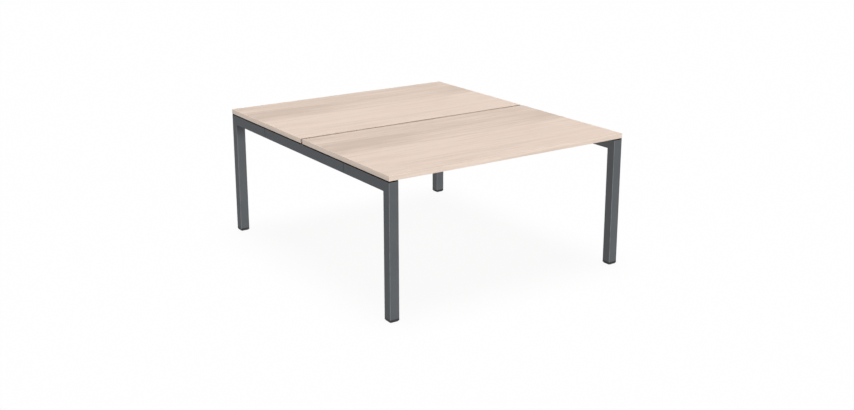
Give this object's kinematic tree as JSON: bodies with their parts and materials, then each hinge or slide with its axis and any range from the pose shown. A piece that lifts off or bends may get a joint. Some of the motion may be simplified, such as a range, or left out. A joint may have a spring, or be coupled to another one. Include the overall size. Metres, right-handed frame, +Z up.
{
  "type": "benching desk for two",
  "caption": "Back-to-back desk with wood-grain tops either side of a cable gap, on a square-tube frame with mitred legs and levelling feet.",
  "frame": {"origin": "on the floor under the middle of the desk", "axes": "+X along the desktops, +Y across both desktops from front to rear, +Z up"},
  "size_m": [1.44, 1.674, 0.72],
  "materials": {
    "laminate": "pale wood-grain laminate, matt",
    "edge_band": "wood-grain edge band, matt",
    "frame_paint": "anthracite powder coat, fine texture",
    "zinc": "zinc plated",
    "foot_plastic": "black moulded",
    "strip_rubber": "black"
  },
  "bodies": {
    "desk": {"top_front_board": "laminate", "band_front_outer": "edge_band", "band_front_inner": "edge_band", "band_front_left": "edge_band", "band_front_right": "edge_band", "beam_front": "frame_paint", "screw_front_left": "zinc", "screw_front_right": "zinc", "top_rear_board": "laminate", "band_rear_outer": "edge_band", "band_rear_inner": "edge_band", "band_rear_left": "edge_band", "band_rear_right": "edge_band", "beam_rear": "frame_paint", "screw_rear_left": "zinc", "screw_rear_right": "zinc", "rail_left_middle": "frame_paint", "leg_left_front": "frame_paint", "arm_left_front": "frame_paint", "strip_left_front": "strip_rubber", "plug_left_front": "foot_plastic", "sleeve_left_front": "frame_paint", "flange_left_front": "frame_paint", "bolt_left_front_outer": "zinc", "bolt_left_front_inner": "zinc", "leg_left_rear": "frame_paint", "arm_left_rear": "frame_paint", "strip_left_rear": "strip_rubber", "plug_left_rear": "foot_plastic", "sleeve_left_rear": "frame_paint", "flange_left_rear": "frame_paint", "bolt_left_rear_outer": "zinc", "bolt_left_rear_inner": "zinc", "rail_right_middle": "frame_paint", "leg_right_front": "frame_paint", "arm_right_front": "frame_paint", "strip_right_front": "strip_rubber", "plug_right_front": "foot_plastic", "sleeve_right_front": "frame_paint", "flange_right_front": "frame_paint", "bolt_right_front_outer": "zinc", "bolt_right_front_inner": "zinc", "leg_right_rear": "frame_paint", "arm_right_rear": "frame_paint", "strip_right_rear": "strip_rubber", "plug_right_rear": "foot_plastic", "sleeve_right_rear": "frame_paint", "flange_right_rear": "frame_paint", "bolt_right_rear_outer": "zinc", "bolt_right_rear_inner": "zinc"},
    "foot_left_front": {"pad_left_front": "foot_plastic", "stem_left_front": "zinc"},
    "foot_left_rear": {"pad_left_rear": "foot_plastic", "stem_left_rear": "zinc"},
    "foot_right_front": {"pad_right_front": "foot_plastic", "stem_right_front": "zinc"},
    "foot_right_rear": {"pad_right_rear": "foot_plastic", "stem_right_rear": "zinc"}
  },
  "joints": [
    {"name": "level_left_front", "type": "slide", "parent": "desk", "child": "foot_left_front", "axis": [0, 0, -1], "range_m": [0, 0.015]},
    {"name": "level_left_rear", "type": "slide", "parent": "desk", "child": "foot_left_rear", "axis": [0, 0, -1], "range_m": [0, 0.015]},
    {"name": "level_right_front", "type": "slide", "parent": "desk", "child": "foot_right_front", "axis": [0, 0, -1], "range_m": [0, 0.015]},
    {"name": "level_right_rear", "type": "slide", "parent": "desk", "child": "foot_right_rear", "axis": [0, 0, -1], "range_m": [0, 0.015]}
  ]
}
